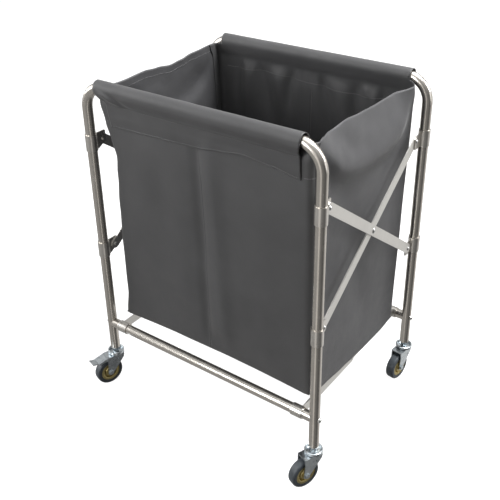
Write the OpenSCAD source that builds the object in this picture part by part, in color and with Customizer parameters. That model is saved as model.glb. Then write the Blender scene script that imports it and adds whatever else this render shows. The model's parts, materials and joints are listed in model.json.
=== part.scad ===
// Folding laundry cart: a deep fabric bag slung between two inverted-U tube frames
// that are tied by crossed side bars and ride on four swivel casters.
// Frame: +Z up, front frame towards -Y, origin on the floor under the middle.

/* [Frame] */
// half the distance between the two legs of one frame, axis to axis
half_width = 326; // [250:400]
// half the distance between the front and the back frame, axis to axis
half_depth = 241; // [180:300]
// height of the axis of the top bars
top_z = 876; // [700:1000]
// outer radius of the frame tube
tube_r = 12.5; // [9:16]
// wall of the frame tube
tube_wall = 1.2; // [0.8:2.5]
// bend radius of the top corners, on the tube axis
bend_r = 60; // [40:90]
// height of the lower end of the legs
leg_z = 108; // [90:140]
// height of the axis of the lower cross rails
rail_z = 191; // [150:260]

/* [Side braces] */
// height of the upper brace pivots
upper_pivot_z = 727; // [600:800]
// height of the lower brace pivots
lower_pivot_z = 427; // [300:500]
// distance from a leg's axis to the brace pivot beside it
pivot_reach = 35; // [25:50]
// width of the flat brace bars
bar_w = 25; // [18:35]
// thickness of the flat brace bars
bar_t = 3; // [2:5]
// height of a clamp collar
clamp_h = 42; // [25:60]
// wall of a clamp collar
clamp_wall = 2; // [1.5:3]
// radial gap between a sliding collar and its leg
slide_gap = 0.35; // [0.2:0.8]
// radial running clearance at every pivot pin
pin_gap = 0.05; // [0.01:0.1]
// radius of the brace pivot pins
pin_r = 3; // [2:5]

/* [Bottom links] */
// distance from the middle of the cart to the outer face of a link
link_x = 290; // [250:300]
// height of the link bars
link_h = 24; // [18:30]
// length of the collar that turns on the cross rail
rail_collar_l = 30; // [20:45]

/* [Bag] */
// half the width of the bag body
bag_half_w = 299; // [240:310]
// half the depth of the bag body
bag_half_d = 224; // [160:230]
// height of the underside of the bag
bag_bottom_z = 208; // [190:260]
// height of the top edge of the side walls
bag_side_top_z = 871; // [700:880]
// thickness the cloth is drawn at
cloth_t = 2.5; // [1.5:4]
// height of the cut-back at the lower corners, where the folding links swing through
corner_cut_h = 72; // [0:120]
// half the length of the sleeves round the top bars
sleeve_half_l = 283; // [200:290]
// inner radius of the sleeves
sleeve_r = 15.5; // [13.5:20]
// height of the seam where the sleeve flap meets the bag wall
flap_z = 791; // [740:840]

/* [Casters] */
// radius of the wheels
wheel_r = 38; // [30:50]
// width of the tyres
wheel_w = 23; // [18:30]
// trail of the wheel axle behind the swivel axis
trail = 28.5; // [20:40]
// resting yaw of the front left caster, turned from straight ahead towards the left
yaw_fl = 17; // [-45:45]
// resting yaw of the front right caster
yaw_fr = 22; // [-45:45]
// resting yaw of the back left caster
yaw_bl = 8; // [-45:45]
// resting yaw of the back right caster
yaw_br = 8; // [-45:45]

/* [Hidden] */
$fn = 64;
brace_dy = half_depth - pivot_reach;
brace_dz = upper_pivot_z - lower_pivot_z;
brace_l = sqrt(4 * brace_dy * brace_dy + brace_dz * brace_dz);
brace_deg = atan(brace_dz / (2 * brace_dy));
ear_t = 3;
ear_slack = 0.15;
// on the right side the inner bar, the clamp ears and the outer bar lie side by side from these planes
outer_x0 = half_width - 2.6;
ear_x0 = outer_x0 - ear_slack - ear_t;
inner_x0 = ear_x0 - ear_slack - bar_t;
collar_fixed_r = tube_r + 0.05;
collar_slide_r = tube_r + slide_gap;
link_t = 3;
link_gap = 0.6;
rail_collar_x = half_width - 60;
bag_wall_y = bag_half_d;
race_r = 22.5;
race_z = 88.6;
lip_z = 98.5;
dish_z = 91;
crown_z = 88.3;
crown_reach = 34.8;
sheet_t = 2.5;
fork_w = 32;
axle_r = 4;
hub_r = 9;
rim_r = 27;
pedal_y = -2;
pedal_z = 72;
side_names = ["left", "right"];
corner_names = ["front_left", "front_right", "back_left", "back_right"];

// which node to draw

steel = [0.66, 0.64, 0.6];
bar_col = [0.78, 0.78, 0.76];
zinc = [0.68, 0.71, 0.73];
cloth = [0.3, 0.3, 0.31];
gold = [0.71, 0.63, 0.32];
rubber = [0.22, 0.24, 0.26];

// ---------- helpers ----------

// a solid rod along X, centred
module rod_x(r, l) {
  rotate([0, 90, 0])
    cylinder(r = r, h = l, center = true);
}

// the outline of an inverted U of round bar, solid, radius r
module u_bar(r, low) {
  for (s = [-1, 1])
    translate([s * half_width, 0, low])
      cylinder(r = r, h = top_z - bend_r - low);
  rod_x_at(r, 2 * (half_width - bend_r), top_z);
  u_corner(r);
  mirror([1, 0, 0])
    u_corner(r);
}

module rod_x_at(r, l, z) {
  translate([0, 0, z])
    rod_x(r, l);
}

// one quarter bend, from the leg into the top bar, on the +X side
module u_corner(r) {
  translate([half_width - bend_r, 0, top_z - bend_r])
    rotate([90, 0, 0])
      rotate_extrude(angle = 90)
        translate([bend_r, 0])
          circle(r = r);
}

// a rivet along X: domed head on the outer side, nut on the inner side
module rivet(x_out, x_in, r, head_r, head_h) {
  translate([x_in, 0, 0])
    rotate([0, 90, 0])
      cylinder(r = r, h = x_out - x_in);
  translate([x_out, 0, 0])
    dome(head_r, head_h);
  translate([x_in, 0, 0])
    mirror([1, 0, 0])
      nut_x(head_r, head_h);
}

// a domed head that stands on the plane X = 0 and bulges towards +X
module dome(r, h) {
  ball = (r * r + h * h) / (2 * h);
  rotate([0, 90, 0])
    rotate_extrude()
      intersection() {
        translate([0, h - ball])
          circle(r = ball);
        square([r, h]);
      }
}

// a hexagon nut that stands on the plane X = 0 towards +X
module nut_x(r, h) {
  rotate([0, 90, 0])
    cylinder(r = r, h = h, $fn = 6);
}

// ---------- frames ----------

// a whole frame tube, hollow, with the bolt holes for the rail; built at Y = 0
module frame_tube() {
  color(steel)
    difference() {
      u_bar(tube_r, leg_z);
      u_bar(tube_r - tube_wall, leg_z - 1);
      rod_x_at(4.05, 2 * half_width + 60, rail_z);
    }
}

// the lower cross rail, coped against the legs, with solid ends that take the bolts
module rail() {
  end_x = half_width - 2;
  color(steel)
    difference() {
      rod_x_at(tube_r, 2 * end_x, rail_z);
      rod_x_at(tube_r - tube_wall, 2 * (half_width - 50), rail_z);
      rod_x_at(4.05, 2 * half_width, rail_z);
      for (s = [-1, 1])
        translate([s * half_width, 0, 0])
          cylinder(r = tube_r + 0.05, h = 2 * rail_z);
    }
}

// the two cap bolts that hold one rail between its legs
module rail_bolts() {
  color(zinc)
    for (s = [0, 1])
      mirror([s, 0, 0])
        translate([0, 0, rail_z]) {
          translate([half_width - 42, 0, 0])
            rotate([0, 90, 0])
              cylinder(r = 4, h = 42 + tube_r + 0.1);
          translate([half_width + tube_r + 0.1, 0, 0])
            dome(6.2, 5.5);
        }
}

// ---------- clamps ----------

// collar round a leg with one ear that reaches inwards towards +Y, built for the right side
// bore: inner radius, up: 1 where the ear's sharp corner is at the top, -1 at the bottom
module clamp(bore, up) {
  difference() {
    union() {
      translate([half_width, 0, -clamp_h / 2])
        cylinder(r = bore + clamp_wall, h = clamp_h);
      clamp_ear(up);
    }
    translate([half_width, 0, -clamp_h])
      cylinder(r = bore, h = 2 * clamp_h);
    translate([half_width, pivot_reach, 0])
      rod_x(pin_r + 0.02, 60);
  }
}

// the ear plate: one corner sharp, the other cut off on a slant
module clamp_ear(up) {
  far = pivot_reach + 7;
  half = clamp_h / 2;
  translate([ear_x0, 0, 0])
    rotate([90, 0, 90])
      linear_extrude(ear_t)
        polygon([
          [8, -up * half], [17, -up * half], [far, -up * (half - 14)],
          [far, up * (half - 2)], [far - 2, up * half], [8, up * half]
        ]);
}

// puts a right-hand, front part at a corner: sx -1 left, sy 1 back
module corner(sx, sy) {
  mirror([sx < 0 ? 1 : 0, 0, 0])
    mirror([0, sy > 0 ? 1 : 0, 0])
      translate([0, -half_depth, 0])
        children();
}

module clamp_at(sx, sy, z, bore) {
  color(steel)
    corner(sx, sy)
      translate([0, 0, z])
        clamp(bore, -sy);
}

// pivot rivets of one clamp pair, left and right; they hold an outer or an inner bar on the ears
module clamp_rivets(sy, z, outer_bar) {
  x_out = outer_bar ? outer_x0 + bar_t + 0.1 : ear_x0 + ear_t;
  x_in = outer_bar ? ear_x0 : inner_x0 - 0.1;
  color(zinc)
    for (sx = [-1, 1])
      corner(sx, sy)
        translate([0, pivot_reach, z])
          rivet(x_out, x_in, pin_r, 5.5, 3.5);
}

// ---------- side braces ----------

// one flat bar in the side plane at X = x0, from pivot to pivot; slope 1 rises towards the back
module brace(sx, x0, slope) {
  color(bar_col)
    mirror([sx < 0 ? 1 : 0, 0, 0])
      translate([x0, 0, (upper_pivot_z + lower_pivot_z) / 2])
        rotate([slope * brace_deg, 0, 0])
          rotate([90, 0, 90])
            linear_extrude(bar_t)
              difference() {
                union() {
                  square([brace_l, bar_w], center = true);
                  for (e = [-1, 1])
                    translate([e * brace_l / 2, 0])
                      circle(r = bar_w / 2);
                }
                for (e = [-1, 0, 1])
                  translate([e * brace_l / 2, 0])
                    circle(r = pin_r + pin_gap);
              }
}

module centre_rivets() {
  color(zinc)
    for (s = [0, 1])
      mirror([s, 0, 0])
        translate([0, 0, (upper_pivot_z + lower_pivot_z) / 2])
          union() {
            rivet(outer_x0 + bar_t, inner_x0 - 0.3, pin_r, 7.5, 3.5);
            // spacer between the bars
            translate([inner_x0 + bar_t + 0.1, 0, 0])
              rotate([0, 90, 0])
                cylinder(r = 8, h = outer_x0 - inner_x0 - bar_t - 0.2);
          }
}

// ---------- bottom links ----------

// half of a folding bottom link, welded to its rail collar; front half is the outer one
module link_half(sx, sy) {
  x0 = sy < 0 ? link_x - link_t : link_x - 2 * link_t - link_gap;
  color(steel)
    mirror([sx < 0 ? 1 : 0, 0, 0])
      mirror([0, sy > 0 ? 1 : 0, 0])
        translate([x0, 0, rail_z])
          rotate([90, 0, 90])
            linear_extrude(link_t)
              difference() {
                union() {
                  translate([-half_depth + 8, -link_h / 2])
                    square([half_depth - 8, link_h]);
                  circle(r = link_h / 2);
                }
                translate([-half_depth, 0])
                  circle(r = collar_slide_r + clamp_wall + 0.03);
                circle(r = pin_r + (sy < 0 ? 0.02 : 0.5));
              }
}

// the collar that turns on the cross rail
module rail_collar(sx, sy) {
  color(steel)
    mirror([sx < 0 ? 1 : 0, 0, 0])
      translate([rail_collar_x, sy * half_depth, rail_z])
        rotate([0, 90, 0])
          difference() {
            cylinder(r = collar_slide_r + clamp_wall, h = rail_collar_l);
            translate([0, 0, -1])
              cylinder(r = collar_slide_r, h = rail_collar_l + 2);
          }
}

// hinge bolts in the middle of the links; they end just short of the back halves
module link_centre_pins() {
  color(zinc)
    for (s = [0, 1])
      mirror([s, 0, 0])
        translate([0, 0, rail_z]) {
          translate([link_x - link_t - 0.2, 0, 0])
            rotate([0, 90, 0])
              cylinder(r = pin_r, h = link_t + 0.3);
          translate([link_x, 0, 0])
            rotate([0, 90, 0])
              cylinder(r = 5, h = 2.4);
        }
}

// ---------- bag ----------

// end wall with the sleeve round the top bar and its flap, built for the front
module bag_end() {
  wall_out = -bag_wall_y;
  r_out = sleeve_r + cloth_t;
  color(cloth) {
    difference() {
      translate([-bag_half_w, wall_out, bag_bottom_z])
        cube([2 * bag_half_w, cloth_t, bag_side_top_z - bag_bottom_z]);
      for (s = [-1, 1])
        translate([s * (bag_half_w + link_x - 10) / 2, wall_out, bag_bottom_z])
          cube([bag_half_w - link_x + 11, 40, 2 * corner_cut_h], center = true);
    }
    rotate([90, 0, 90])
      translate([0, 0, -sleeve_half_l])
        linear_extrude(2 * sleeve_half_l)
          sleeve_outline(r_out);
  }
}

// the sleeve in section: over the bar, then down in front to the seam on the wall
module sleeve_outline(r_out) {
  cy = -half_depth;
  translate([cy, top_z])
    difference() {
      circle(r = r_out);
      circle(r = sleeve_r);
      translate([-50, -100])
        square([100, 100]);
    }
  polygon([
    [cy - r_out, top_z], [cy - sleeve_r, top_z], [-bag_wall_y, flap_z + 4],
    [-bag_wall_y + 1, flap_z], [-bag_wall_y - 2.2, flap_z]
  ]);
  polygon([
    [cy + sleeve_r, top_z + 0.5], [cy + r_out, top_z + 0.5],
    [-bag_wall_y + cloth_t, bag_side_top_z - 2], [-bag_wall_y, bag_side_top_z - 8]
  ]);
}

module bag_side() {
  color(cloth)
    translate([bag_half_w - cloth_t, -bag_wall_y + cloth_t + 0.2, bag_bottom_z])
      cube([cloth_t, 2 * (bag_wall_y - cloth_t - 0.2), bag_side_top_z - bag_bottom_z]);
}

// half of the bag floor, built for the front; it lies on the links
module bag_floor() {
  color(cloth)
    translate([-bag_half_w + cloth_t + 0.2, -bag_wall_y + cloth_t + 0.2, bag_bottom_z])
      cube([2 * (bag_half_w - cloth_t - 0.2), bag_wall_y - cloth_t - 0.6, cloth_t]);
}

// ---------- casters ----------
// built on the swivel axis with the wheel trailing towards -Y, then turned to its yaw

module caster_place(sx, sy, yaw) {
  translate([sx * half_width, sy * half_depth, 0])
    rotate([0, 0, -yaw])
      children();
}

// plug inside the leg, stud, hexagon nut, ball race and kingpin head in one turned part
module caster_stem() {
  color(zinc)
    union() {
      translate([0, 0, leg_z])
        cylinder(r = tube_r - tube_wall - 0.03, h = 24);
      translate([0, 0, dish_z - 1])
        cylinder(r = 8, h = leg_z - dish_z + 1);
      translate([0, 0, dish_z + 4.5])
        cylinder(r = 10, h = 8, $fn = 6);
      rotate_extrude()
        polygon([
          [0, race_z], [race_r - 4, race_z], [race_r - 1, race_z + 1], [race_r, race_z + 2.6],
          [race_r, lip_z - 2], [race_r - 0.7, lip_z - 0.6], [race_r - 2, lip_z],
          [race_r - 3.2, lip_z - 0.4], [race_r - 4, lip_z - 1.6],
          [race_r - 6, dish_z], [0, dish_z]
        ]);
      translate([0, 0, crown_z - 9])
        cylinder(r = 6, h = dish_z - crown_z + 9);
      translate([0, 0, crown_z - 7.5])
        cylinder(r = 9, h = 4);
    }
}

// crown plate with two cheeks that run down to the axle
module caster_fork() {
  color(zinc)
    difference() {
      union() {
        translate([0, 0, crown_z - sheet_t])
          linear_extrude(sheet_t)
            intersection() {
              union() {
                circle(r = race_r - 0.5);
                translate([-fork_w / 2, -crown_reach])
                  square([fork_w, crown_reach + 8]);
              }
              translate([-fork_w / 2, -crown_reach])
                square([fork_w, crown_reach + race_r]);
            }
        for (s = [0, 1])
          mirror([s, 0, 0])
            translate([fork_w / 2 - sheet_t, 0, 0])
              rotate([90, 0, 90])
                linear_extrude(sheet_t)
                  cheek_outline();
      }
      translate([0, 0, 60])
        cylinder(r = 6.06, h = 40);
      translate([0, -trail, wheel_r])
        rod_x(axle_r + 0.02, 60);
      translate([0, pedal_y, pedal_z])
        rod_x(2.06, 60);
    }
}

module cheek_outline() {
  union() {
    polygon([
      [15.2, crown_z - 0.5], [16, 82], [13.5, 74], [-trail + 8.6, wheel_r - 2.6],
      [-trail, wheel_r - 9], [-trail - 9, wheel_r], [-trail - 8.4, 46],
      [-crown_reach, 66], [-crown_reach, crown_z - 0.5]
    ]);
    translate([-trail, wheel_r])
      circle(r = 9);
  }
}

// axle bolt with a hexagon head and nut
module caster_axle() {
  color(zinc)
    translate([0, -trail, wheel_r]) {
      rod_x(axle_r, fork_w + 2);
      translate([fork_w / 2 + 0.1, 0, 0])
        nut_x(6.5, 3.6);
      translate([-fork_w / 2 - 0.1, 0, 0])
        mirror([1, 0, 0])
          nut_x(6.5, 4.4);
    }
}

// rim with its hub tube, web and rolled flange
module wheel_rim() {
  color(gold)
    translate([0, -trail, wheel_r])
      rotate([0, 90, 0])
        rotate_extrude()
          polygon([
            [axle_r + 0.06, -13.3], [hub_r, -13.3], [hub_r, -11], [13.5, -10.4], [14.5, -9],
            [15.5, -4], [18, -4], [19.4, -9.5], [21, -10.4], [rim_r - 0.05, -10.4],
            [rim_r - 0.05, 10.4], [21, 10.4], [19.4, 9.5], [18, 4], [15.5, 4],
            [14.5, 9], [13.5, 10.4], [hub_r, 11], [hub_r, 13.3], [axle_r + 0.06, 13.3]
          ]);
}

module wheel_tyre() {
  half = wheel_w / 2;
  soft = 5;
  color(rubber)
    translate([0, -trail, wheel_r])
      rotate([0, 90, 0])
        rotate_extrude($fn = 96)
          union() {
            translate([rim_r, -half])
              square([wheel_r - soft - rim_r, wheel_w]);
            translate([wheel_r - soft - 1, -half + soft])
              square([soft + 1, wheel_w - 2 * soft]);
            for (s = [-1, 1])
              translate([wheel_r - soft, s * (half - soft)])
                circle(r = soft);
          }
}

// channel-shaped pedal beyond the crown: sloping plate, narrower toe tab bent up, side flanges, pivots
module brake_pedal() {
  flange_x = 11.9;
  flange_t = 1.3;
  plate_half = 15;
  tab_half = 13;
  color(zinc)
    union() {
      for (s = [0, 1])
        mirror([s, 0, 0]) {
          translate([flange_x, 0, 0])
            rotate([90, 0, 90])
              linear_extrude(flange_t)
                polygon([
                  [4, 69], [4, 75.5], [-8, 79.5], [-30, 83], [-36, 84.6], [-36, 87],
                  [-60, 81.2], [-60, 75], [-40, 77.5], [-26, 76], [-8, 68]
                ]);
          translate([flange_x + 0.2, pedal_y, pedal_z])
            rotate([0, 90, 0])
              cylinder(r = 2, h = fork_w / 2 + 1 - flange_x);
        }
      rotate([90, 0, 90])
        translate([0, 0, -plate_half])
          linear_extrude(2 * plate_half)
            polygon([[-35.4, 85.6], [-35.4, 88], [-60.5, 82], [-60.5, 79.6]]);
      rotate([90, 0, 90])
        translate([0, 0, -tab_half])
          linear_extrude(2 * tab_half)
            polygon([[-59, 82.1], [-59, 79.9], [-61, 79.6], [-78, 83.4], [-78, 85.6], [-61, 81.8]]);
    }
}

// ---------- parts ----------

module front_frame_tube() {
  translate([0, -half_depth, 0])
    frame_tube();
}

module back_frame_tube() {
  translate([0, half_depth, 0])
    frame_tube();
}

module front_rail() {
  translate([0, -half_depth, 0])
    rail();
}

module back_rail() {
  translate([0, half_depth, 0])
    rail();
}

module front_rail_bolts() {
  translate([0, -half_depth, 0])
    rail_bolts();
}

module back_rail_bolts() {
  translate([0, half_depth, 0])
    rail_bolts();
}

front_frame_tube();
front_rail();
front_rail_bolts();
clamp_at(-1, -1, upper_pivot_z, collar_fixed_r);  // clamp_upper_front_left
clamp_at(1, -1, upper_pivot_z, collar_fixed_r);  // clamp_upper_front_right
clamp_rivets(-1, upper_pivot_z, true);  // rivets_upper_front
bag_end();  // bag_front
mirror([1, 0, 0]) bag_side();  // bag_side_left
bag_side();  // bag_side_right

back_frame_tube();
back_rail();
back_rail_bolts();
clamp_at(-1, 1, upper_pivot_z, collar_fixed_r);  // clamp_upper_back_left
clamp_at(1, 1, upper_pivot_z, collar_fixed_r);  // clamp_upper_back_right
clamp_rivets(1, upper_pivot_z, false);  // rivets_upper_back
mirror([0, 1, 0]) bag_end();  // bag_back

brace(-1, outer_x0, -1);  // brace_outer_left
brace(1, outer_x0, -1);  // brace_outer_right
centre_rivets();  // rivets_centre
brace(-1, inner_x0, 1);  // brace_inner_left
brace(1, inner_x0, 1);  // brace_inner_right

clamp_at(-1, -1, lower_pivot_z, collar_slide_r);  // clamp_lower_front_left
clamp_at(1, -1, lower_pivot_z, collar_slide_r);  // clamp_lower_front_right
clamp_rivets(-1, lower_pivot_z, false);  // rivets_lower_front
clamp_at(-1, 1, lower_pivot_z, collar_slide_r);  // clamp_lower_back_left
clamp_at(1, 1, lower_pivot_z, collar_slide_r);  // clamp_lower_back_right
clamp_rivets(1, lower_pivot_z, true);  // rivets_lower_back

for (i = [0, 1]) {
  link_half(2 * i - 1, -1);
  link_half(2 * i - 1, 1);
  rail_collar(2 * i - 1, -1);
  rail_collar(2 * i - 1, 1);
}
link_centre_pins();  // link_pins
bag_floor();  // bag_bottom_front
mirror([0, 1, 0]) bag_floor();  // bag_bottom_back

corner_x = [-1, 1, -1, 1];
corner_y = [-1, -1, 1, 1];
corner_yaw = [yaw_fl, yaw_fr, yaw_bl, yaw_br];
for (i = [0:3]) {
  caster_place(corner_x[i], corner_y[i], corner_yaw[i]) caster_stem();
  caster_place(corner_x[i], corner_y[i], corner_yaw[i]) caster_fork();
  caster_place(corner_x[i], corner_y[i], corner_yaw[i]) caster_axle();
  caster_place(corner_x[i], corner_y[i], corner_yaw[i]) wheel_rim();
  caster_place(corner_x[i], corner_y[i], corner_yaw[i]) wheel_tyre();
}
caster_place(-1, -1, yaw_fl) brake_pedal();  // brake_pedal_front_left
caster_place(-1, 1, yaw_bl) brake_pedal();  // brake_pedal_back_left
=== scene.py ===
import bpy
import json
import math
from mathutils import Vector, Matrix, noise


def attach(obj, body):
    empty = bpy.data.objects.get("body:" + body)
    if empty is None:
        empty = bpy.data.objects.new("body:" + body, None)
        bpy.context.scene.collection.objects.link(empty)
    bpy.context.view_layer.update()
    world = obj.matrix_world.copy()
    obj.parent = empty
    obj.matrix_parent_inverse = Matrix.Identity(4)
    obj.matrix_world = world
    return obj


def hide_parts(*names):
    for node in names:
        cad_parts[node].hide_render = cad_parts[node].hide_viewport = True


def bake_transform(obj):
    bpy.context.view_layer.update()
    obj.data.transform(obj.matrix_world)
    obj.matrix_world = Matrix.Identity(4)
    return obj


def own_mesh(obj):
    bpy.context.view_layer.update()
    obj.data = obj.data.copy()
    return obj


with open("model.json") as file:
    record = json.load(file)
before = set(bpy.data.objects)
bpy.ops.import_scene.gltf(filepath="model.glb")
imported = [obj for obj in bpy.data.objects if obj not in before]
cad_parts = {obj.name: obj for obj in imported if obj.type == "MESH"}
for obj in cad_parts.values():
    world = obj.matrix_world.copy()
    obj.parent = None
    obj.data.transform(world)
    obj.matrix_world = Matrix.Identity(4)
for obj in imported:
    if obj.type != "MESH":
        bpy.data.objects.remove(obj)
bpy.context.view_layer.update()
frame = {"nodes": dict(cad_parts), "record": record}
MM = 0.001
scene = bpy.context.scene
noise.seed_set(7)


# ------------------------------------------------------------------ small helpers

def lerp(a, b, t):
    """Straight blend from a to b."""
    return a + (b - a) * t


def smooth(a, b, x):
    """0 at a, 1 at b, with soft ends; a may be larger than b."""
    t = min(1.0, max(0.0, (x - a) / (b - a)))
    return t * t * (3 - 2 * t)


def bump(x, centre, width):
    """A bell of height 1 round centre."""
    d = (x - centre) / width
    return math.exp(-d * d)


def curve_through(points, x):
    """Smooth value at x from a few (x, value) pairs in rising order."""
    if x <= points[0][0]:
        return points[0][1]
    for (x0, y0), (x1, y1) in zip(points, points[1:]):
        if x <= x1:
            t = (x - x0) / (x1 - x0)
            return lerp(y0, y1, t * t * (3 - 2 * t))
    return points[-1][1]


def wobble(x, y, z, size, seed):
    """Soft unevenness between about -1 and 1, with hills about size mm across."""
    return noise.noise(Vector((x / size + seed, y / size - seed, z / size + 2 * seed)))


def mesh_object(name, verts, faces):
    """A smooth-shaded object from points in mm, whose heights count from LIFT above the floor."""
    me = bpy.data.meshes.new(name)
    me.from_pydata([(x * MM, y * MM, (z + LIFT) * MM) for x, y, z in verts], [], faces)
    me.validate()
    me.polygons.foreach_set("use_smooth", [True] * len(me.polygons))
    me.update()
    ob = bpy.data.objects.new(name, me)
    scene.collection.objects.link(ob)
    return ob


# ------------------------------------------------------------------ materials

class Nodes:
    """Short way to wire a material."""

    def __init__(self, name):
        self.m = bpy.data.materials.new(name)
        self.m.use_nodes = True
        self.t = self.m.node_tree
        self.bsdf = self.t.nodes["Principled BSDF"]
        tc = self.add("ShaderNodeTexCoord")
        self.obj = tc.outputs["Object"]

    def add(self, kind, **props):
        n = self.t.nodes.new(kind)
        for k, v in props.items():
            setattr(n, k, v)
        return n

    def link(self, a, b):
        self.t.links.new(a, b)

    def scaled(self, sx, sy, sz, vector=None):
        n = self.add("ShaderNodeMapping")
        n.inputs["Scale"].default_value = (sx, sy, sz)
        self.link(vector or self.obj, n.inputs["Vector"])
        return n.outputs["Vector"]

    def noise(self, vector, scale, detail=3.0, rough=0.5):
        n = self.add("ShaderNodeTexNoise")
        n.inputs["Scale"].default_value = scale
        n.inputs["Detail"].default_value = detail
        n.inputs["Roughness"].default_value = rough
        self.link(vector, n.inputs["Vector"])
        return n.outputs["Fac"]

    def math(self, op, a, b=None):
        n = self.add("ShaderNodeMath", operation=op)
        for i, v in enumerate((a, b)):
            if v is None:
                continue
            if isinstance(v, (int, float)):
                n.inputs[i].default_value = v
            else:
                self.link(v, n.inputs[i])
        return n.outputs[0]

    def ramp(self, fac, stops):
        n = self.add("ShaderNodeValToRGB")
        e = n.color_ramp.elements
        while len(e) < len(stops):
            e.new(0.5)
        for el, (p, c) in zip(e, stops):
            el.position = p
            el.color = (*c, 1.0)
        self.link(fac, n.inputs["Fac"])
        return n.outputs["Color"]

    def range(self, fac, lo, hi):
        n = self.add("ShaderNodeMapRange")
        n.inputs["To Min"].default_value = lo
        n.inputs["To Max"].default_value = hi
        self.link(fac, n.inputs["Value"])
        return n.outputs["Result"]

    def bump(self, height, strength, distance, normal=None):
        n = self.add("ShaderNodeBump")
        n.inputs["Strength"].default_value = strength
        n.inputs["Distance"].default_value = distance
        self.link(height, n.inputs["Height"])
        if normal is not None:
            self.link(normal, n.inputs["Normal"])
        return n.outputs["Normal"]

    def set(self, **values):
        for k, v in values.items():
            self.bsdf.inputs[k.replace("_", " ")].default_value = v


YARN = 0.0011          # spacing of the weave's yarns, in metres


def cloth_material(name, dark, light, across):
    """Coated plain-weave polyester; across picks the axis that runs along the weft."""
    n = Nodes(name)
    sep = n.add("ShaderNodeSeparateXYZ")
    n.link(n.obj, sep.inputs[0])
    warp = n.math("SINE", n.math("MULTIPLY", sep.outputs[across], 2 * math.pi / YARN))
    weft = n.math("SINE", n.math("MULTIPLY", sep.outputs["Z"], 2 * math.pi / YARN))
    weave = n.math("MULTIPLY", warp, weft)
    broad = n.noise(n.obj, 9.0, 4.0, 0.55)
    fine = n.noise(n.obj, 420.0, 2.0, 0.6)
    slub = n.noise(n.scaled(30, 30, 900), 1.0, 2.0, 0.5)
    tone = n.math("ADD", n.math("MULTIPLY", broad, 0.62), n.math("MULTIPLY", fine, 0.22))
    tone = n.math("ADD", tone, n.math("MULTIPLY", slub, 0.16))
    n.link(n.ramp(tone, [(0.3, dark), (0.72, light)]), n.bsdf.inputs["Base Color"])
    n.link(n.range(n.noise(n.obj, 26.0, 3.0), 0.46, 0.62), n.bsdf.inputs["Roughness"])
    height = n.math("ADD", n.math("MULTIPLY", weave, 0.5), n.math("MULTIPLY", fine, 0.8))
    soft = n.bump(n.noise(n.obj, 34.0, 3.0, 0.5), 0.25, 0.0025)
    n.link(n.bump(height, 0.22, 0.0003, soft), n.bsdf.inputs["Normal"])
    n.set(Specular_IOR_Level=0.42, Sheen_Weight=0.12, Sheen_Roughness=0.4)
    return n.m


def thread_material():
    n = Nodes("thread")
    f = n.noise(n.obj, 900.0, 2.0)
    tone = n.ramp(f, [(0.3, (0.16, 0.16, 0.165)), (0.7, (0.27, 0.27, 0.275))])
    n.link(tone, n.bsdf.inputs["Base Color"])
    n.set(Roughness=0.55, Sheen_Weight=0.2)
    return n.m


GRAIN_DEPTH = 0.00002  # of the metals' drawn or rolled surface, in metres


def metal_material(name, dark, light, rough, grain):
    """Metal with a drawn or rolled grain; grain is the stretch of the noise in x, y, z."""
    n = Nodes(name)
    streak = n.noise(n.scaled(*grain), 1.0, 3.0, 0.6)
    cloud = n.noise(n.obj, 14.0, 4.0, 0.6)
    tone = n.math("ADD", n.math("MULTIPLY", streak, 0.6), n.math("MULTIPLY", cloud, 0.4))
    n.link(n.ramp(tone, [(0.32, dark), (0.68, light)]), n.bsdf.inputs["Base Color"])
    wear = n.math("ADD", n.math("MULTIPLY", streak, 0.5), n.math("MULTIPLY", cloud, 0.5))
    n.link(n.range(wear, rough - 0.08, rough + 0.1), n.bsdf.inputs["Roughness"])
    n.link(n.bump(streak, 0.35, GRAIN_DEPTH), n.bsdf.inputs["Normal"])
    n.set(Metallic=1.0)
    return n.m


def rubber_material():
    n = Nodes("tyre_rubber")
    a = n.noise(n.obj, 60.0, 4.0, 0.6)
    b = n.noise(n.obj, 900.0, 2.0, 0.6)
    tone = n.ramp(a, [(0.3, (0.038, 0.045, 0.052)), (0.75, (0.066, 0.077, 0.088))])
    n.link(tone, n.bsdf.inputs["Base Color"])
    n.link(n.range(a, 0.42, 0.6), n.bsdf.inputs["Roughness"])
    n.link(n.bump(b, 0.25, 0.0002), n.bsdf.inputs["Normal"])
    n.set(Specular_IOR_Level=0.45)
    return n.m


M_CLOTH_X = cloth_material("cloth_front", (0.048, 0.048, 0.0495), (0.067, 0.067, 0.0685), "X")
M_CLOTH_Y = cloth_material("cloth_side", (0.049, 0.049, 0.052), (0.068, 0.068, 0.071), "Y")
M_THREAD = thread_material()

# slot: darkest colour, lightest colour, roughness, stretch of the grain in x, y, z
METALS = {
    "tube_steel": ((0.50, 0.47, 0.43), (0.66, 0.63, 0.585), 0.24, (900, 900, 5)),
    "flat_bar_steel": ((0.60, 0.59, 0.565), (0.74, 0.73, 0.70), 0.40, (60, 300, 1500)),
    "collar_steel": ((0.52, 0.50, 0.47), (0.70, 0.68, 0.64), 0.27, (700, 700, 20)),
    "fastener_zinc": ((0.55, 0.55, 0.54), (0.78, 0.78, 0.77), 0.2, (300, 300, 300)),
    "caster_zinc": ((0.42, 0.46, 0.49), (0.66, 0.70, 0.72), 0.27, (90, 90, 90)),
    "rim_yellow": ((0.34, 0.28, 0.12), (0.56, 0.47, 0.22), 0.42, (120, 120, 120)),
}
by_slot = {slot: metal_material(slot, *values) for slot, values in METALS.items()}
by_slot["tyre"] = rubber_material()
slot_of = {p["node"]: p["material_slot"] for p in frame["record"]["subparts"]}
for node_name, ob in frame["nodes"].items():
    m = by_slot.get(slot_of[node_name])
    if m is None:
        continue
    if not ob.material_slots:
        ob.data.materials.append(m)
    for s in ob.material_slots:
        s.material = m


# ------------------------------------------------------------------ the bag

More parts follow.
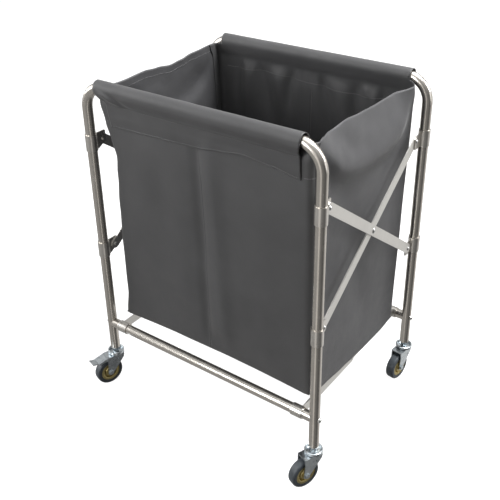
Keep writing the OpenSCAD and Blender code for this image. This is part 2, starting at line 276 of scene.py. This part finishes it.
# In mm. Heights count from LIFT above the floor.
LIFT = 3.0
HW_LOW, HW_HEM, HW_TOP = 296.0, 297.5, 301.0   # half widths of the bag at three heights
FACE_HALF = 288.0                              # half width of an end wall between its soft corners
SLEEVE_X = 283.0                               # half length of the sleeves
BAR_Y, BAR_Z = 241.0, 873.0                    # axis of the top bars
SLEEVE_R = 17.2                                # middle of the cloth round the bar
CORNER = 14.0                                  # radius of the soft upright corners
LAP = 20.0                                     # how far the end walls wrap onto the sides
LAP_TUCK = 1.7                                 # how far the laps lie inside the side walls
CLOTH = 1.3                                    # thickness drawn for the cloth
Z_LOW = 222.0                                  # lower edge of the end walls
Z_HEM = 788.0                                  # hem of the flaps
Z_PINCH = 836.0                                # where both layers are sewn together under the bar
Z_WALL = 866.0                                 # where wall ends and sleeve begins
Z_TOP = 871.0                                  # highest cloth of the side walls
END_Y = 218.0                                  # where a side wall's edges meet the end walls
FLOOR_Y = 216.0                                # half length of the floor


def half_width(z):
    return curve_through([(Z_LOW, HW_LOW), (Z_HEM, HW_HEM), (Z_TOP, HW_TOP)], z)


def wall_y(z):
    """Distance of the end walls from the middle plane."""
    return curve_through([(Z_LOW, 215.5), (500, 224.0), (Z_HEM, 234.0), (834, 236.0), (850, 229.5),
                          (Z_WALL, 224.2)], z)


def pull_left(z, front):
    """How far the front left corner is drawn in by the cloth's own tension."""
    if not front:
        return curve_through([(Z_LOW, 0), (500, 6), (700, 9), (800, 3), (Z_WALL, 0)], z)
    return curve_through([(Z_LOW, 0), (300, 11), (450, 17), (560, 22), (650, 31), (700, 37),
                          (740, 26), (785, 13), (830, 5), (Z_WALL, 0)], z)


def side_top(y, right):
    """Height of a side wall's wavy upper edge."""
    if right:
        return curve_through([(-END_Y, 866), (-200, 868), (-178, 867), (-139, 863), (-78, 867), (-22, 862),
                              (56, 859), (129, 859), (180, 857), (END_Y, 856)], y)
    return curve_through([(-END_Y, 862), (-163, 860), (-74, 865), (-25, 860), (30, 853), (66, 857),
                          (110, 865), (160, 867), (END_Y, 866)], y)


def side_bottom(y):
    """Height of a side wall's lower edge, which sags between the end walls."""
    return curve_through([(-END_Y, 221), (-150, 207), (-60, 199), (0, 194), (60, 189), (150, 187),
                          (END_Y, 196)], y)


def hem_z(x, front):
    """Height of the seam that closes the flap at its lower edge."""
    if front:
        return curve_through([(-SLEEVE_X, 781), (-203, 782), (-100, 785), (0, 789), (60, 796), (130, 804),
                              (200, 797), (277, 786)], x)
    return curve_through([(-SLEEVE_X, Z_HEM), (-120, 794), (0, Z_HEM), (140, 783), (SLEEVE_X, 790)], x)


# folds of the back wall: place along X, width, depth outwards, lean, height where it fades
BACK_FOLDS = [
    (-238, 13, 6, 0.12, 700), (-196, 17, -7, -0.10, 690), (-150, 15, 8, 0.22, 720),
    (-104, 20, -7, 0.30, 680), (-58, 16, 8, -0.20, 700), (38, 17, 7, 0.25, 690),
    (84, 20, -8, 0.32, 660), (132, 16, 8, 0.18, 700), (178, 18, -7, 0.30, 670), (222, 18, 8, 0.26, 690),
]


def end_relief(x, z, front):
    """Gentle folds of the end walls, positive outwards, in mm."""
    if front:
        # the centre seam draws a valley between two bellies, down to the bottom
        valley = smooth(235, 300, z) * smooth(800, 770, z)
        d = -5.0 * bump(x, -3, 13) * valley
        d += 5.5 * bump(x, 36 + (Z_HEM - z) * 0.03, 24) * smooth(860, 740, z) * smooth(235, 320, z)
        d += 3.5 * bump(x, -62 - (Z_HEM - z) * 0.02, 44) * smooth(800, 700, z) * smooth(240, 380, z)
        d += 3.0 * bump(x, -190, 60) * smooth(800, 650, z) * smooth(250, 420, z)
        d += 3.0 * bump(x, 190, 70) * smooth(800, 640, z) * smooth(240, 420, z)
        d += 2.2 * wobble(x, 0, z * 0.5, 90, 1.3) * smooth(225, 300, z)
    else:
        # drape folds hang from the sleeve seam, lean a little and die out lower down
        d = 0.0
        for x0, wide, deep, lean, low in BACK_FOLDS:
            reach = smooth(low - 130, low + 40, z) * smooth(Z_PINCH, 800, z)
            d += deep * bump(x, x0 + (800 - z) * lean, wide + (800 - z) * 0.06) * reach
        d += 1.6 * math.sin(x / 6.5 + 2.0 * math.sin(x / 31.0)) * bump(z, 812, 26) * smooth(Z_PINCH, 826, z)
        d += 3.0 * wobble(x, 5, z * 0.5, 80, 4.1) * smooth(225, 300, z)
    edge = smooth(297, 270, abs(x))
    return d * edge * smooth(862, 838, z)


def crest_z(y, right):
    """Height of the long curved fold below the hem of a side wall."""
    return 753 + 104 * (abs(y - (20 if right else -10)) / 231.0) ** 3


def side_relief(y, z, right):
    """Belly of the side walls, positive outwards, in mm."""
    ends = smooth(214, 140, abs(y))
    crest = crest_z(y, right)
    out = (13.0 if right else 11.0) * ends
    inward = (17.0 if right else 5.0) * ends
    if z > crest:
        # slack cloth leans in from the fold up to the hem
        s = (z - crest) / max(20.0, side_top(y, right) - crest)
        bend = (math.sqrt(s * s + 0.02) - 0.1414) / 0.8686
        d = out - (out + inward) * bend
        d += 2.6 * wobble(3, y, z, 42, 2.2) * math.sin(math.pi * min(1.0, s)) * ends
    else:
        d = out * (1.0 - smooth(0, 46, crest - z)) - 2.0 * smooth(20, 60, crest - z) * ends
    low = smooth(crest - 20, crest - 90, z) * smooth(240, 380, z) * ends
    if right:
        d += 4.0 * bump(y, 40, 70) * bump(z, 640, 90) * low
        d -= 3.0 * bump(y + (z - 600) * 0.3, -60, 45) * low
        d += 1.8 * wobble(3, y, z, 110, 2.2) * low
    else:
        d += 2.5 * wobble(9, y, z, 100, 3.4) * low
        d += 3.0 * math.sin(y / 38.0 + 0.8) * bump(z, 850, 40) * ends
    return d


def side_x(y, z, right):
    """Signed X of a side wall's middle surface."""
    hw = half_width(z)
    if right:
        return hw + side_relief(y, z, True)
    front_share = smooth(160, -END_Y, y)
    back_share = smooth(-160, END_Y, y)
    pull = pull_left(z, True) * front_share ** 1.4 + pull_left(z, False) * back_share ** 1.4
    return -(hw - pull + side_relief(y, z, False))


def end_point(col, z, front):
    """A point of an end wall at height z.

    col is (kind, value, side): value is x across the face, degrees round a corner,
    or mm along the lap that lies on a side wall; side is -1 left, 1 right.
    """
    sy = -1.0 if front else 1.0
    kind, val, sx = col
    hw = half_width(z)
    yw = wall_y(z)
    pull = pull_left(z, front)
    left_edge = -(hw - pull)
    if kind == "face":
        t = (FACE_HALF - val) / (2 * FACE_HALF)      # 1 at the left edge, 0 at the right
        x = val * (hw - CORNER) / FACE_HALF + pull * t ** 2.2
        return x, sy * (yw + end_relief(x, z, front)), z
    edge = left_edge if sx < 0 else hw
    if kind == "arc":
        a = math.radians(val)
        cx = edge - sx * CORNER
        return cx + sx * CORNER * math.sin(a), sy * (yw - CORNER + CORNER * math.cos(a)), z
    y = sy * (yw - CORNER - val)
    x = side_x(y, z, sx > 0) - sx * LAP_TUCK
    return lerp(edge, x, smooth(0, 3, val)), y, z


def end_columns():
    """Columns of an end wall's mesh from the left lap round to the right one."""
    laps = (3.0, 7.0, 13.0, LAP)
    arcs = (16, 32, 50, 70, 90)
    spans = 70
    xs = [-FACE_HALF] + [-SLEEVE_X + 2 * SLEEVE_X * i / spans for i in range(spans + 1)] + [FACE_HALF]
    left = [("lap", d, -1) for d in reversed(laps)] + [("arc", a, -1) for a in reversed(arcs)]
    right = [("arc", a, 1) for a in arcs] + [("lap", d, 1) for d in laps]
    return left + [("face", x, 0) for x in xs] + right


def top_of(col, front):
    sy = -1.0 if front else 1.0
    kind, val, sx = col
    if kind == "face":
        return Z_WALL
    right = sx > 0
    if kind == "arc":
        return lerp(Z_WALL, side_top(sy * END_Y, right), val / 90.0)
    return side_top(sy * (wall_y(Z_WALL) - CORNER - val), right)


def bottom_of(col, front):
    sy = -1.0 if front else 1.0
    kind, val, sx = col
    corner = side_bottom(sy * FLOOR_Y)
    if kind == "face":
        mid = 230.0 if front else 224.0
        return mid - (mid - corner) * (abs(val) / FACE_HALF) ** 2
    if kind == "arc":
        return corner
    return side_bottom(sy * (202 - val))


BAR_STEPS = 12         # steps of the cloth over the bar
FLAP_STEPS = 16        # steps down the flap
FLAP_LOW = 786         # height where the flap's own shape ends


def sleeve_section(x, front):
    """Points (distance from the middle plane, z) over the bar and down the flap."""
    pts = []
    for i in range(BAR_STEPS + 1):
        a = math.pi * i / BAR_STEPS
        lift = 1.0 + 0.5 * wobble(x, 3 * i, 0, 60, 0.4)
        r = SLEEVE_R + 0.5 * wobble(x, 10 * i, 0, 45, 6.0)
        pts.append((BAR_Y - r * math.cos(a), BAR_Z - 0.6 + r * math.sin(a) * (1.0 + 0.02 * lift)))
    z_end = hem_z(x, front) - 2.0
    y_start, z_start = pts[-1]
    for i in range(1, FLAP_STEPS + 1):
        z = lerp(z_start, z_end, i / FLAP_STEPS)
        y = curve_through([(FLAP_LOW, 236.6), (812, 238.6), (Z_PINCH, BAR_Y), (852, 252.5),
                           (862, 257.6), (BAR_Z, 258.2)], z)
        if z > Z_PINCH:
            s = (z - Z_PINCH) / (BAR_Z - Z_PINCH)
            puff = math.sin(math.pi * s) * (1.5 * wobble(x, 0, z, 60, 9.0) + 0.4)
            if front:
                # a slanting fold at the left end of the front sleeve
                along = x + (z - BAR_Z) * 1.1
                puff += 5.0 * bump(along, -262, 13) * math.sin(math.pi * s)
                puff -= 3.5 * bump(along, -236, 14) * math.sin(math.pi * s)
        else:
            s = (Z_PINCH - z) / (Z_PINCH - FLAP_LOW)
            puff = math.sin(math.pi * min(1.0, s)) * (1.6 * wobble(x, 0, z, 50, 3.0) + 1.0)
        # the flap always lies outside the wall behind it
        behind = wall_y(z) + end_relief(x, z, front)
        pts.append((max(y + puff, behind + 2.2), z))
    return pts


def flap_x(x, z, front):
    """The sleeve's own X; its flap is drawn in at both ends below the bar."""
    s = smooth(BAR_Z, 832, z)
    right = (9.0 if front else 4.0) * s
    left = 22.0 * s + 4.0 * smooth(832, FLAP_LOW, z) if front else 7.0 * s
    return x - right * smooth(200, SLEEVE_X, x) + left * smooth(-110, -SLEEVE_X, x) ** 1.3


def quads(columns, forwards):
    """Faces between neighbouring columns of point numbers, turned round unless forwards."""
    faces = []
    for left, right in zip(columns, columns[1:]):
        for j in range(len(left) - 1):
            quad = (left[j], right[j], right[j + 1], left[j + 1])
            faces.append(quad if forwards else quad[::-1])
    return faces


def sheet_object(name, verts, faces, material):
    ob = mesh_object(name, verts, faces)
    ob.data.materials.append(material)
    return ob


def end_wall(name, front):
    """End wall and sleeve in one sheet."""
    rows = 66
    sy = -1.0 if front else 1.0
    verts, wall, sleeve = [], [], []
    for col in end_columns():
        z0, z1 = bottom_of(col, front), top_of(col, front)
        wall.append([len(verts) + j for j in range(rows + 1)])
        verts += [end_point(col, lerp(z0, z1, j / rows), front) for j in range(rows + 1)]
    faces = quads(wall, front)
    for (kind, x, _), column in zip(end_columns(), wall):
        if kind != "face" or abs(x) > SLEEVE_X + 0.1:
            continue
        line = [column[-1]]
        for k, (y, z) in enumerate(sleeve_section(x, front)):
            line.append(len(verts))
            verts.append((flap_x(x, z, front) if k > BAR_STEPS else x, sy * y, z))
        sleeve.append(line)
    return sheet_object(name, verts, faces + quads(sleeve, front), M_CLOTH_X)


def grid_columns(nu, nv):
    """Point numbers of a plain grid, column by column."""
    return [[i * (nv + 1) + j for j in range(nv + 1)] for i in range(nu + 1)]


def side_wall(name, right):
    ny, nz = 56, 70
    verts = []
    for i in range(ny + 1):
        u = lerp(-1, 1, i / ny)
        z0, z1 = side_bottom(u * 210), side_top(u * 210, right)
        for j in range(nz + 1):
            z = lerp(z0, z1, j / nz)
            y = u * (wall_y(z) - CORNER + 1.5)
            verts.append((side_x(y, z, right), y, z))
    return sheet_object(name, verts, quads(grid_columns(ny, nz), right), M_CLOTH_Y)


def floor_z(x, y):
    """Height of the floor: it hangs low in the middle and rises to the walls' lower edges."""
    edge = side_bottom(y) - 1.0
    mid = lerp(229.0, 223.0, (y + FLOOR_Y) / (2 * FLOOR_Y))
    end_edge = mid - (mid - side_bottom(math.copysign(FLOOR_Y, y))) * (abs(x) / HW_LOW) ** 2
    ex = smooth(0.0, 1.0, abs(x) / HW_LOW)
    ey = (abs(y) / FLOOR_Y) ** 3
    inner = 210.0 - 3.0 * (1 - (x / HW_LOW) ** 2) * (1 - (y / FLOOR_Y) ** 2)
    base = lerp(inner, max(edge, 204.0), ex)
    return lerp(base, end_edge, ey) + 1.6 * wobble(x, y, 0, 80, 5.0)


def floor_half(name, front):
    nx, ny = 64, 26
    verts = []
    for i in range(nx + 1):
        for j in range(ny + 1):
            x = lerp(-1, 1, i / nx) * (half_width(Z_LOW) - 3.0)
            y = lerp(-215.0, 0.0, j / ny)
            y = y if front else -y
            verts.append((x, y, floor_z(x, y)))
    return sheet_object(name, verts, quads(grid_columns(nx, ny), front), M_CLOTH_X)


def finish_cloth(ob):
    """Round the sheet's facets and give it its thickness, half to each side."""
    sub = ob.modifiers.new("round", "SUBSURF")
    sub.levels = 1
    sub.render_levels = 1
    sub.boundary_smooth = "PRESERVE_CORNERS"
    so = ob.modifiers.new("cloth", "SOLIDIFY")
    so.thickness = CLOTH * MM
    so.offset = 0.0
    return ob


# ------------------------------------------------------------------ stitches and seams

def stitch_row(name, path, pitch=5.2, length=3.4, radius=0.5, lift=0.9):
    """Short threads along path, a list of (point, outward normal)."""
    verts, faces = [], []
    pts = [Vector(p) for p, _ in path]
    nrm = [Vector(q).normalized() for _, q in path]
    run = [0.0]
    for a, b in zip(pts, pts[1:]):
        run.append(run[-1] + (b - a).length)

    def at(s):
        for k in range(len(pts) - 1):
            if s <= run[k + 1] or k == len(pts) - 2:
                t = (s - run[k]) / max(1e-6, run[k + 1] - run[k])
                return pts[k].lerp(pts[k + 1], t), nrm[k].lerp(nrm[k + 1], t).normalized()

    sides = 5
    # along one thread: share of its length, share of its radius, height above the cloth
    rings = ((0.0, 0.45, -0.3), (0.25, 1.0, 0.25), (0.75, 1.0, 0.25), (1.0, 0.45, -0.3))
    s = pitch * 0.5
    while s < run[-1] - pitch * 0.5:
        a, na = at(s - length / 2)
        b, _ = at(s + length / 2)
        d = (b - a).normalized()
        w = d.cross(na).normalized()
        first = len(verts)
        for share, thick, up in rings:
            c = a.lerp(b, share) + na * (lift + up)
            for q in range(sides):
                ang = 2 * math.pi * q / sides
                verts.append(tuple(c + (w * math.cos(ang) + na * math.sin(ang)) * radius * thick))
        for ring in range(len(rings) - 1):
            for q in range(sides):
                i0 = first + ring * sides + q
                i1 = first + ring * sides + (q + 1) % sides
                faces.append((i0, i1, i1 + sides, i0 + sides))
        faces.append(tuple(first + q for q in reversed(range(sides))))
        faces.append(tuple(first + sides * (len(rings) - 1) + q for q in range(sides)))
        s += pitch
    ob = mesh_object(name, verts, faces)
    ob.data.materials.append(M_THREAD)
    return ob


def tape(name, path, half, lift, mat):
    """A narrow raised strip along path, a list of (point, outward normal, sideways)."""
    verts, faces = [], []
    for point, normal, across in path:
        point, normal, across = Vector(point), Vector(normal).normalized(), Vector(across).normalized()
        for off, up in ((-half, 0.1), (-half * 0.6, 1.0), (half * 0.6, 1.0), (half, 0.1)):
            verts.append(tuple(point + across * off + normal * lift * up))
    for i in range(len(path) - 1):
        for k in range(3):
            a = i * 4 + k
            faces.append((a, a + 1, a + 5, a + 4))
    ob = mesh_object(name, verts, faces)
    ob.data.materials.append(mat)
    return ob


def flap_at(x, z, front):
    """Point on the outside of the flap at height z."""
    sy = -1.0 if front else 1.0
    pts = sleeve_section(x, front)[BAR_STEPS:]
    for (y0, z0), (y1, z1) in zip(pts, pts[1:]):
        if z <= z0 and z >= z1:
            t = (z0 - z) / (z0 - z1)
            y = lerp(y0, y1, t)
            return (flap_x(x, z, front), sy * y, z)
    return (flap_x(x, pts[-1][1], front), sy * pts[-1][0], pts[-1][1])


def end_stitches(key, front):
    """All seams and rows of stitches of one end wall."""
    sy = -1.0 if front else 1.0
    xs = [lerp(-281, 281, i / 80) for i in range(81)]
    hem = [(flap_at(x, hem_z(x, front) + 2.0, front), (0, sy, 0.15)) for x in xs]
    upper = [(flap_at(x, Z_PINCH, front), (0, sy, 0.2)) for x in xs]
    # the same hem seam seen inside the bag
    rise = 2 if front else 14
    inside = [(end_point(("face", x, 0), hem_z(x, front) + rise, front), (0, -sy, 0)) for x in xs]
    rows = [stitch_row(f"stitch_hem_{key}", hem),
            stitch_row(f"stitch_upper_{key}", upper, radius=0.34, lift=0.75),
            stitch_row(f"stitch_inside_{key}", inside)]
    # seam tape and stitches down the middle, outside and inside
    zs = [lerp(232, hem_z(0, front) - 4, i / 60) for i in range(61)]
    centre = [end_point(("face", 0.0, 0), z, front) for z in zs]
    for label, side in (("outside", sy), ("inside", -sy)):
        strip = [(p, (0, side, 0), (1, 0, 0)) for p in centre]
        rows.append(tape(f"seam_{label}_{key}", strip, 3.2, 1.25, M_CLOTH_X))
        beside = [((x + 4.6, y, z), (0, side, 0)) for x, y, z in centre]
        rows.append(stitch_row(f"stitch_centre_{label}_{key}", beside, radius=0.36, lift=0.8))
    # the hem seam runs on over the corner strips beside the flap, as a row of stitches
    for sx in (-1, 1):
        strip = []
        for x in (284.0, 287.0):
            strip.append((("face", x * sx, sx), (0, sy, 0)))
        for turn in (25, 55, 85):
            a = math.radians(turn)
            strip.append((("arc", turn, sx), (sx * math.sin(a), sy * math.cos(a), 0)))
        for along in (6, 18):
            strip.append((("lap", along, sx), (sx, 0, 0)))
        path = [(end_point(col, 790 if front else 792, front), normal) for col, normal in strip]
        rows.append(stitch_row(f"stitch_corner_{key}_{'right' if sx > 0 else 'left'}", path))
    return rows


def side_stitches(key, right):
    """The hem of a side wall, on its inner face."""
    inward = (-1.0 if right else 1.0, 0, 0)
    path = []
    for i in range(71):
        y = lerp(-210, 210, i / 70)
        z = side_top(y, right) - 19
        path.append(((side_x(y, z, right), y, z), inward))
    return stitch_row(f"stitch_hem_inside_{key}", path, radius=0.42)


ENDS = (("front", True), ("back", False))
SIDES = (("left", False), ("right", True))

walls, stitches, floors = {}, {}, {}
for key, front in ENDS:
    wall = finish_cloth(end_wall(f"bag_wall_{key}", front))
    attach(wall, f"{key}_frame")
    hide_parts(f"bag_{key}")
    walls[key], stitches[key] = wall, end_stitches(key, front)
    for row in stitches[key]:
        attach(row, f"{key}_frame")

for key, right in SIDES:
    wall = finish_cloth(side_wall(f"bag_wall_{key}", right))
    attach(wall, "front_frame")
    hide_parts(f"bag_side_{key}")
    walls[key], stitches[key] = wall, [side_stitches(key, right)]
    for row in stitches[key]:
        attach(row, "front_frame")
    for ob in [wall] + stitches[key]:
        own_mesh(ob)

for key, front in ENDS:
    half = finish_cloth(floor_half(f"bag_floor_{key}", front))
    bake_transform(half)
    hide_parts(f"bag_bottom_{key}")
    floors[key] = half


# ------------------------------------------------------------------ studio

def camera():
    """The photo's view: place, bearing, height angle and roll, with the picture shifted on the sensor."""
    cd = bpy.data.cameras.new("camera")
    ob = bpy.data.objects.new("camera", cd)
    scene.collection.objects.link(ob)
    az, el, roll = (math.radians(v) for v in (35.667, 27.402, -0.535))
    back = Vector((math.sin(az) * math.cos(el), -math.cos(az) * math.cos(el), math.sin(el)))
    level_right = Vector((math.cos(az), math.sin(az), 0))
    level_up = back.cross(level_right)
    right = level_right * math.cos(roll) + level_up * math.sin(roll)
    up = level_up * math.cos(roll) - level_right * math.sin(roll)
    m = Matrix.Identity(4)
    for i, axis in enumerate((right, up, back)):
        for k in range(3):
            m[k][i] = axis[k]
    m.translation = Vector((1.0057, -1.3994, 1.4579))
    ob.matrix_world = m
    cd.sensor_fit = "HORIZONTAL"
    cd.sensor_width = 36.0
    cd.lens = 55.1
    cd.shift_x = -0.0185
    cd.shift_y = -0.1025
    cd.clip_end = 60.0
    scene.camera = ob


def area_light(name, pos, size, power):
    """A soft box that faces the middle of the cart."""
    ld = bpy.data.lights.new(name, "AREA")
    ld.shape = "RECTANGLE"
    ld.size, ld.size_y = size
    ld.energy = power
    ob = bpy.data.objects.new(name, ld)
    scene.collection.objects.link(ob)
    ob.location = pos
    ob.rotation_euler = (LIGHT_TARGET - Vector(pos)).to_track_quat("-Z", "Y").to_euler()


AMBIENT = 0.24      # sky seen by matt surfaces
MIRRORED = 1.0      # sky seen in reflections
LIGHT_TARGET = Vector((0, 0, 0.5))
# name, place, size, power in watts
LIGHTS = [
    ("left_low", (-3.2, -1.3, 1.5), (2.0, 2.0), 72),
    ("front", (-0.8, -3.5, 1.8), (2.0, 2.0), 94),
    ("top_right", (1.05, 0.9, 3.45), (1.2, 1.2), 175),
    ("right_high", (2.4, 1.8, 2.2), (1.4, 1.4), 54),
    ("right_low", (3.2, 1.0, 0.9), (1.4, 1.4), 8),
    ("top", (0.0, -0.2, 3.6), (2.4, 2.4), 25),
]
# brightness of the walls round the studio, by compass angle: -90 is in front, 0 to the right
WALLS = [(-180, 0.40), (-128, 0.42), (-100, 0.36), (-69, 0.27), (-40, 0.22), (-10, 0.13), (11, 0.10),
         (21, 0.42), (38, 0.60), (60, 0.95), (80, 0.70), (105, 0.42), (180, 0.40)]
CEILING = 0.58


def staged(name, verts, node):
    """One flat face that belongs to the studio and not to the cart."""
    me = bpy.data.meshes.new(name)
    me.from_pydata(verts, [], [(0, 1, 2, 3)])
    ob = bpy.data.objects.new(name, me)
    scene.collection.objects.link(ob)
    me.materials.append(node.m)
    return ob


def reflector_card():
    """A tall bright card in front of the cart that only shows in the polished tubes."""
    x, y, half, low, high = 0.39, -0.96, 0.19, -0.9, 1.3
    n = Nodes("card")
    n.set(Base_Color=(0, 0, 0, 1), Emission_Color=(1.0, 0.97, 0.93, 1), Emission_Strength=0.75)
    corners = [(x - half, y, low), (x + half, y, low), (x + half, y, high), (x - half, y, high)]
    card = staged("card", corners, n)
    card.visible_camera = False
    card.visible_diffuse = False
    card.visible_shadow = False


def studio_floor():
    """Plain white floor that takes a faint shadow and sends no light back at the cart."""
    half = 30.0
    n = Nodes("floor")
    patches = n.noise(n.obj, 3.0, 2.0)
    tone = n.ramp(patches, [(0.0, (0.30, 0.30, 0.30)), (1.0, (0.34, 0.34, 0.34))])
    n.link(tone, n.bsdf.inputs["Base Color"])
    n.set(Roughness=0.9, Specular_IOR_Level=0.1, Emission_Color=(1, 1, 1, 1), Emission_Strength=0.93)
    floor = staged("floor", [(-half, -half, 0), (half, -half, 0), (half, half, 0), (-half, half, 0)], n)
    floor.visible_glossy = False
    floor.visible_diffuse = False


def studio_world():
    """White behind the cart; its reflections see grey walls that change with the compass angle."""
    world = bpy.data.worlds.new("studio")
    scene.world = world
    world.use_nodes = True
    t = world.node_tree
    t.nodes.clear()
    add, link = t.nodes.new, t.links.new

    def map_range(value, **values):
        n = add("ShaderNodeMapRange")
        for k, v in values.items():
            n.inputs[k.replace("_", " ")].default_value = v
        link(value, n.inputs["Value"])
        return n.outputs["Result"]

    direction = add("ShaderNodeSeparateXYZ")
    link(add("ShaderNodeTexCoord").outputs["Generated"], direction.inputs[0])
    compass = add("ShaderNodeMath")
    compass.operation = "ARCTAN2"
    link(direction.outputs["Y"], compass.inputs[0])
    link(direction.outputs["X"], compass.inputs[1])
    walls_ramp = add("ShaderNodeValToRGB")
    stops = walls_ramp.color_ramp.elements
    while len(stops) < len(WALLS):
        stops.new(0.5)
    for stop, (angle, v) in zip(stops, WALLS):
        stop.position = (angle + 180) / 360.0
        stop.color = (v, v * 0.985, v * 0.965, 1)
    link(map_range(compass.outputs[0], From_Min=-math.pi, From_Max=math.pi), walls_ramp.inputs["Fac"])
    room = add("ShaderNodeMix")
    room.data_type = "RGBA"
    link(map_range(direction.outputs["Z"], From_Min=0.15, From_Max=0.75), room.inputs["Factor"])
    link(walls_ramp.outputs["Color"], room.inputs["A"])
    room.inputs["B"].default_value = (CEILING, CEILING, CEILING, 1)

    rays = add("ShaderNodeLightPath")
    seen = add("ShaderNodeBackground")
    link(map_range(rays.outputs["Is Glossy Ray"], To_Min=AMBIENT, To_Max=MIRRORED), seen.inputs["Strength"])
    link(room.outputs["Result"], seen.inputs["Color"])
    backdrop = add("ShaderNodeBackground")
    backdrop.inputs["Color"].default_value = (1, 1, 1, 1)
    backdrop.inputs["Strength"].default_value = 1.0
    mix = add("ShaderNodeMixShader")
    link(rays.outputs["Is Camera Ray"], mix.inputs["Fac"])
    link(seen.outputs[0], mix.inputs[1])
    link(backdrop.outputs[0], mix.inputs[2])
    link(mix.outputs[0], add("ShaderNodeOutputWorld").inputs["Surface"])


camera()
studio_floor()
studio_world()
for light in LIGHTS:
    area_light(*light)
reflector_card()
scene.view_settings.view_transform = "Standard"
